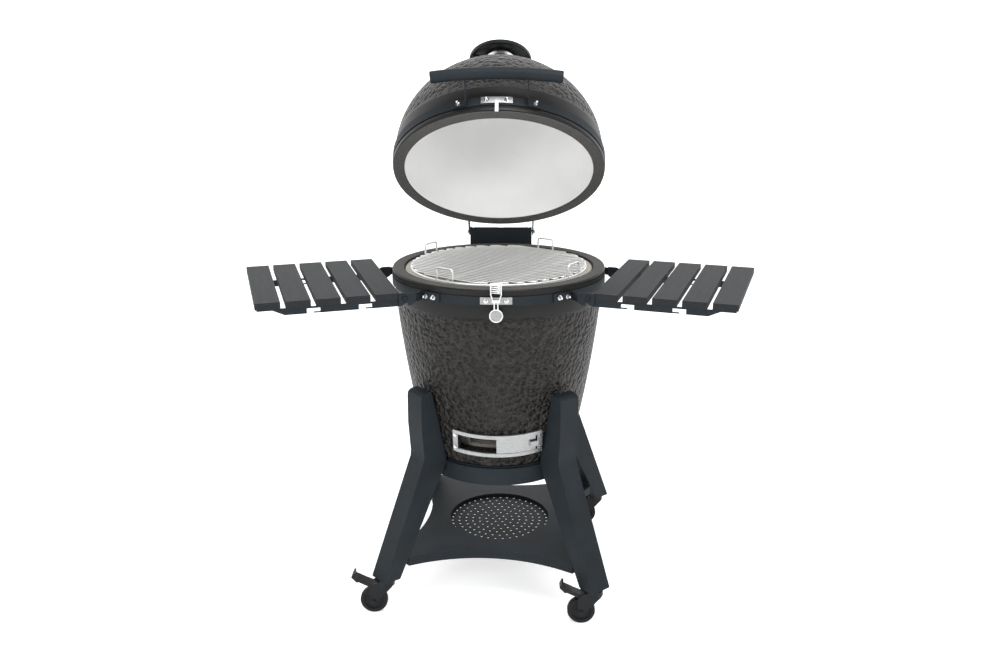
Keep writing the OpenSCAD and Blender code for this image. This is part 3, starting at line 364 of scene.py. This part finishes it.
NODE_MATERIALS = {
    BOWL_GLAZE: ["ceramic_base"],
    LID_GLAZE: ["ceramic_lid"],
    FELT: ["base_gasket", "lid_gasket"],
    FIRE_BRICK: ["fire_bowl", "fire_ring"],
    CAST_IRON: ["charcoal_grate", "vent_cap"],
    SLATE_PAINT: ["base_band", "lid_band", "left_shelf_brackets", "right_shelf_brackets",
                  "hinge_base_frame", "hinge_lid_frame", "front_left_leg", "front_right_leg",
                  "rear_left_leg", "rear_right_leg", "cart_ring", "cart_shelf", "cart_shelf_grille",
                  "handle_bar", "handle_arms", "left_shelf_rails", "right_shelf_rails"],
    BRUSHED_STEEL: ["latch_plate", "lid_catch", "draft_frame", "draft_slider", "draft_slider_inner",
                    "latch_disc"],
    WIRE_STEEL: ["cooking_grate", "grate_loops", "latch_lever", "latch_bail", "latch_spring"],
    POLISHED_STEEL: ["base_band_bolts", "bracket_bolts", "lid_band_bolts", "draft_screws", "hinge_pin",
                     "hinge_springs", "vent_stack", "vent_nut", "caster_stems"],
    BLACK_PAINT: ["shelf_pivot_bolts", "front_left_fork", "front_right_fork", "rear_left_fork",
                  "rear_right_fork"],
    PLASTIC: ["handle_end_caps", "front_left_pedal", "front_right_pedal"],
    RUBBER: ["front_left_wheel", "front_right_wheel", "rear_left_wheel", "rear_right_wheel"],
    RIGHT_BOARD: ["right_shelf_boards"],
    LEFT_BOARD: ["left_shelf_boards"],
}
MATERIAL_OF = {node: material for material, names in NODE_MATERIALS.items() for node in names}
BODY_OF = {node: body for body, names in frame["record"]["behaviour"]["bodies"].items() for node in names}


# ---------------------------------------------------------------- the lid
def ceramic_lid():
    """The dome: an ellipse of radius DOME_R and rise DOME_RISE over a straight collar and rim, with an
    inner ellipse a wall inside it, revolved as one closed shell."""
    top = math.acos(NECK_R / DOME_R)
    inner_top = math.acos((STACK_R + 6) / (DOME_R - WALL))
    t = np.linspace(0, top, 90)
    s = np.linspace(inner_top, 0, 60)
    bore = RIM_R - WALL - 1
    low = GASKET_T + GASKET_GAP
    seat = RIM_R - BAND_SEAT
    outer = [(bore + 1, low), (RIM_R - 2, low), (RIM_R - 0.6, low + 0.6), (RIM_R, low + 2),
             (RIM_R, BAND_LOW - 3.5), (RIM_R - 0.5, BAND_LOW - 2.6), (seat, BAND_LOW - 2.5),
             (seat, GROOVE_END), (DOME_R, GROOVE_END)]
    dome = np.stack([DOME_R * np.cos(t), DOME_Z + DOME_RISE * np.sin(t)], axis=1)
    neck_z = dome[-1, 1]
    inner_rise = DOME_RISE - WALL
    hollow = np.stack([(DOME_R - WALL) * np.cos(s), DOME_Z + inner_rise * np.sin(s)], axis=1)
    hole = STACK_R + STACK_GAP
    neck = [(STACK_R + 4, neck_z + 0.1), (hole, neck_z - 1), (hole, hollow[0, 1] + 1)]
    profile = np.vstack([outer, dome, neck, hollow, [(bore, DOME_Z - 8), (bore, low + 1)]])
    points, faces = revolve(profile, DOME_TURNS)
    # the lining starts past the rim, the dome and two points of the neck
    first_inner = len(outer) + len(dome) + 2
    row = np.arange(len(faces)) // DOME_TURNS
    lining = (row >= first_inner) & (row < len(profile) - 1)
    piece("lid_dome", "lid", on_lid(points), faces, LID_GLAZE, ("ceramic_lid",), 50,
          inner=(lining, PALE_GLAZE))


# ---------------------------------------------------------------- the cooking grate
GRATE_R = 241.0
GRATE_TURN = -34
GRATE_TOP = 5.0
BAR_R = 2.3
FRAME_WIRE_R = 3.0
ROD_R = 2.5
BARS = 31
# how far the bars stop short of the frame's edge, and how far their bends bulge
BAR_INSET = 4.5
BEND_OUT = 4.5
# where the supports lie, as a share of the radius, and how far their middle is under the bars
SUPPORTS_AT = (-0.55, 0, 0.55)
SUPPORT_DROP = 2.4
# sides of a fine and of a thicker wire
FINE_SIDES = 8
THICK_SIDES = 10


def grate_bars():
    """One long wire laid to and fro: parallel bars a step apart, their ends joined in turn by bends that
    bulge along the bars like half an ellipse."""
    edge = GRATE_R - BAR_INSET
    step = 2 * (GRATE_R - 5) / (BARS + 1)
    across = (np.arange(BARS) - (BARS - 1) / 2) * step
    reach = np.sqrt(edge ** 2 - across ** 2) - 3
    path = []
    for i in range(BARS):
        way = 1 if i % 2 == 0 else -1
        path += [(-way * reach[i], across[i]), (0, across[i]), (way * reach[i], across[i])]
        if i + 1 < BARS:
            t = np.linspace(0, math.pi, 9)[1:-1]
            middle = (reach[i] + reach[i + 1]) / 2
            half = (reach[i] - reach[i + 1]) / 2
            x = middle + half * np.cos(t) + BEND_OUT * np.sin(t)
            y = across[i] + step * (1 - np.cos(t)) / 2
            path += list(zip(way * x, y))
    flat = np.array(path, float)
    points = np.column_stack([flat, np.full(len(flat), GRATE_TOP - BAR_R)])
    return tube(points, BAR_R, (0, 0, 1), FINE_SIDES)


def grate_loop(degrees):
    """A lifting loop: a wire that rises from the frame, turns over two quarter rounds and comes down."""
    half, high, bend = 25.5, 26.0, 7.0
    t = np.linspace(0, math.pi / 2, 6)
    left = np.column_stack([-half + bend * (1 - np.cos(t)), high - bend + bend * np.sin(t)])
    right = left[::-1] * (-1, 1)
    flat = np.vstack([[(-half, -6)], left, right, [(half, -6)]])
    points = np.column_stack([np.full(len(flat), GRATE_R - ROD_R), flat[:, 0], flat[:, 1] + GRATE_TOP])
    wire, faces = tube(points, ROD_R, (1, 0, 0), THICK_SIDES)
    return turn_z(wire, degrees), faces


def cooking_grate():
    """The whole grate: frame wire, bars, three supports under them and four loops."""
    a = np.linspace(0, 2 * math.pi, 180, endpoint=False)
    ring_z = GRATE_TOP - 2 * BAR_R - FRAME_WIRE_R
    ring = np.column_stack([np.cos(a), np.sin(a), 0 * a]) * (GRATE_R - FRAME_WIRE_R) + (0, 0, ring_z)
    parts = [tube(ring, FRAME_WIRE_R, (0, 0, 1), THICK_SIDES, closed=True), grate_bars()]
    for share in SUPPORTS_AT:
        x = share * GRATE_R
        reach = math.sqrt((GRATE_R - 4) ** 2 - x * x)
        y = np.linspace(-reach, reach, 3)
        rod = np.column_stack([0 * y + x, y, 0 * y + GRATE_TOP - 2 * BAR_R - SUPPORT_DROP])
        parts.append(tube(rod, ROD_R, (0, 0, 1), FINE_SIDES))
    parts += [grate_loop(quarter) for quarter in (0, 90, 180, 270)]
    points, faces = joined(parts)
    piece("grate_wires", "grate", on_base(turn_z(points, GRATE_TURN)), faces, WIRE_STEEL,
          ("cooking_grate", "grate_loops"), 60)


# ---------------------------------------------------------------- springs
def coil(radius, wire, start, end, turns):
    """A helix of that many turns along x from start to end: (x, radius cos a, radius sin a)."""
    a = np.linspace(0, 2 * math.pi * turns, int(turns * 22))
    x = start + (end - start) * a / a[-1]
    path = np.column_stack([x, radius * np.cos(a), radius * np.sin(a)])
    return tube(path, wire, (1, 0, 0), FINE_SIDES)


def hinge_springs():
    """Two coil springs round the hinge pin."""
    low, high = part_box("hinge_springs")
    reach, wire = high.x * 1000, 2.2
    radius = (high.y - low.y) * 500 - wire
    inner_end, outer_end, turns = 8, reach - 2, 13
    parts = [coil(radius, wire, side * inner_end, side * outer_end, turns) for side in (-1, 1)]
    points, faces = joined(parts)
    piece("hinge_coils", "grill", on_base(points + HINGE), faces, POLISHED_STEEL,
          ("hinge_springs",), 60)


def latch_spring():
    """The flat coil across the latch wire: an ellipse in plan that climbs five turns."""
    low, high = (np.array(corner) * 1000 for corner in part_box("latch_spring"))
    middle = (low + high) / 2
    turns, depth, wire = 5, 2.4, 1.1
    a = np.linspace(0, 2 * math.pi * turns, 160)
    width = (high[0] - low[0]) / 2 - 0.2
    path = np.column_stack([width * np.cos(a), depth * np.sin(a), low[2] + (high[2] - low[2]) * a / a[-1]])
    points, faces = tube(path + (middle[0], middle[1], 0), wire, (0, 0, 1), FINE_SIDES)
    piece("latch_coil", "latch_wire", points / 1000, faces, WIRE_STEEL, ("latch_spring",), 60)


# ---------------------------------------------------------------- the studio
def sheet(name, corners, glow):
    """A flat matte white sheet of the studio that glows by that much."""
    mesh = bpy.data.meshes.new(name)
    mesh.from_pydata(corners, [], [(0, 1, 2, 3)])
    item = bpy.data.objects.new(name, mesh)
    bpy.context.scene.collection.objects.link(item)
    material, tree, shader = new_material(name + "_white")
    drift = add(tree, "ShaderNodeTexNoise", {"Scale": 1 / 900}, {"Vector": place_mm(tree)})
    tree.links.new(ramp(tree, drift.outputs["Fac"], [(0.3, "#ededed"), (0.7, "#f0f0f0")]),
                   shader.inputs["Base Color"])
    shader.inputs["Roughness"].default_value = 0.9
    shader.inputs["Specular IOR Level"].default_value = 0.1
    shader.inputs["Emission Color"].default_value = (1, 1, 1, 1)
    shader.inputs["Emission Strength"].default_value = glow
    mesh.materials.append(material)


def stage():
    """A plain pale floor and a white wall well behind it."""
    size, back, high = 60.0, 7.0, 40.0
    sheet("studio_floor", [(-size, -size, 0), (size, -size, 0), (size, back, 0), (-size, back, 0)], 0.52)
    sheet("studio_wall", [(-size, back, 0), (size, back, 0), (size, back, high), (-size, back, high)], 1.0)


def area_light(name, place, target, size, power):
    """A square soft light at place, aimed at target."""
    data = bpy.data.lights.new(name, "AREA")
    data.size, data.energy = size, power
    lamp = bpy.data.objects.new(name, data)
    bpy.context.scene.collection.objects.link(lamp)
    lamp.location = place
    aim = np.array(target) - np.array(place)
    flat = math.hypot(aim[0], aim[1])
    lamp.rotation_euler = (math.atan2(flat, -aim[2]), 0, math.atan2(-aim[0], aim[1]))


def lights():
    """Soft boxes left, right and above, and a white surround."""
    world = bpy.data.worlds.new("studio")
    bpy.context.scene.world = world
    world.use_nodes = True
    background = world.node_tree.nodes["Background"]
    background.inputs["Color"].default_value = (1, 1, 1, 1)
    background.inputs["Strength"].default_value = 0.42
    area_light("left_box", (-2.0, -2.6, 1.7), (0, 0, 0.9), 1.0, 34)
    area_light("right_box", (2.2, -2.4, 1.9), (0, 0, 0.9), 1.0, 28)
    area_light("top_box", (0.3, -1.2, 3.0), (0, 0, 0.9), 1.2, 42)


def camera():
    """A standing person's view of the front, looking a little down."""
    data = bpy.data.cameras.new("camera")
    data.sensor_width, data.lens = 36.0, 34.19
    view = bpy.data.objects.new("camera", data)
    bpy.context.scene.collection.objects.link(view)
    view.location = (0.0584, -2.5521, RIM_Z / 1000 + 0.5669)
    view.rotation_euler = Euler((math.radians(90 - 16.54), math.radians(0.17), math.radians(1.19)))
    bpy.context.scene.camera = view
    bpy.context.scene.view_settings.view_transform = "Standard"


# ---------------------------------------------------------------- the whole grill
# pressed and sawn parts whose edges are broken, mm
ROUNDED = {leg + "_leg": 3.5 for leg in ("front_left", "front_right", "rear_left", "rear_right")}
ROUNDED.update({"left_shelf_boards": 1.2, "right_shelf_boards": 1.2, "latch_plate": 0.4, "lid_catch": 0.4})
MADE_HERE = {"ceramic_lid", "cooking_grate", "grate_loops", "hinge_springs", "latch_spring"}
for name, node in NODES.items():
    if name in MADE_HERE:
        continue
    smooth_copy(name, BODY_OF[name], MATERIAL_OF[name], ROUNDED.get(name, 0.0))

ceramic_lid()
cooking_grate()
hinge_springs()
latch_spring()
stage()
lights()
camera()
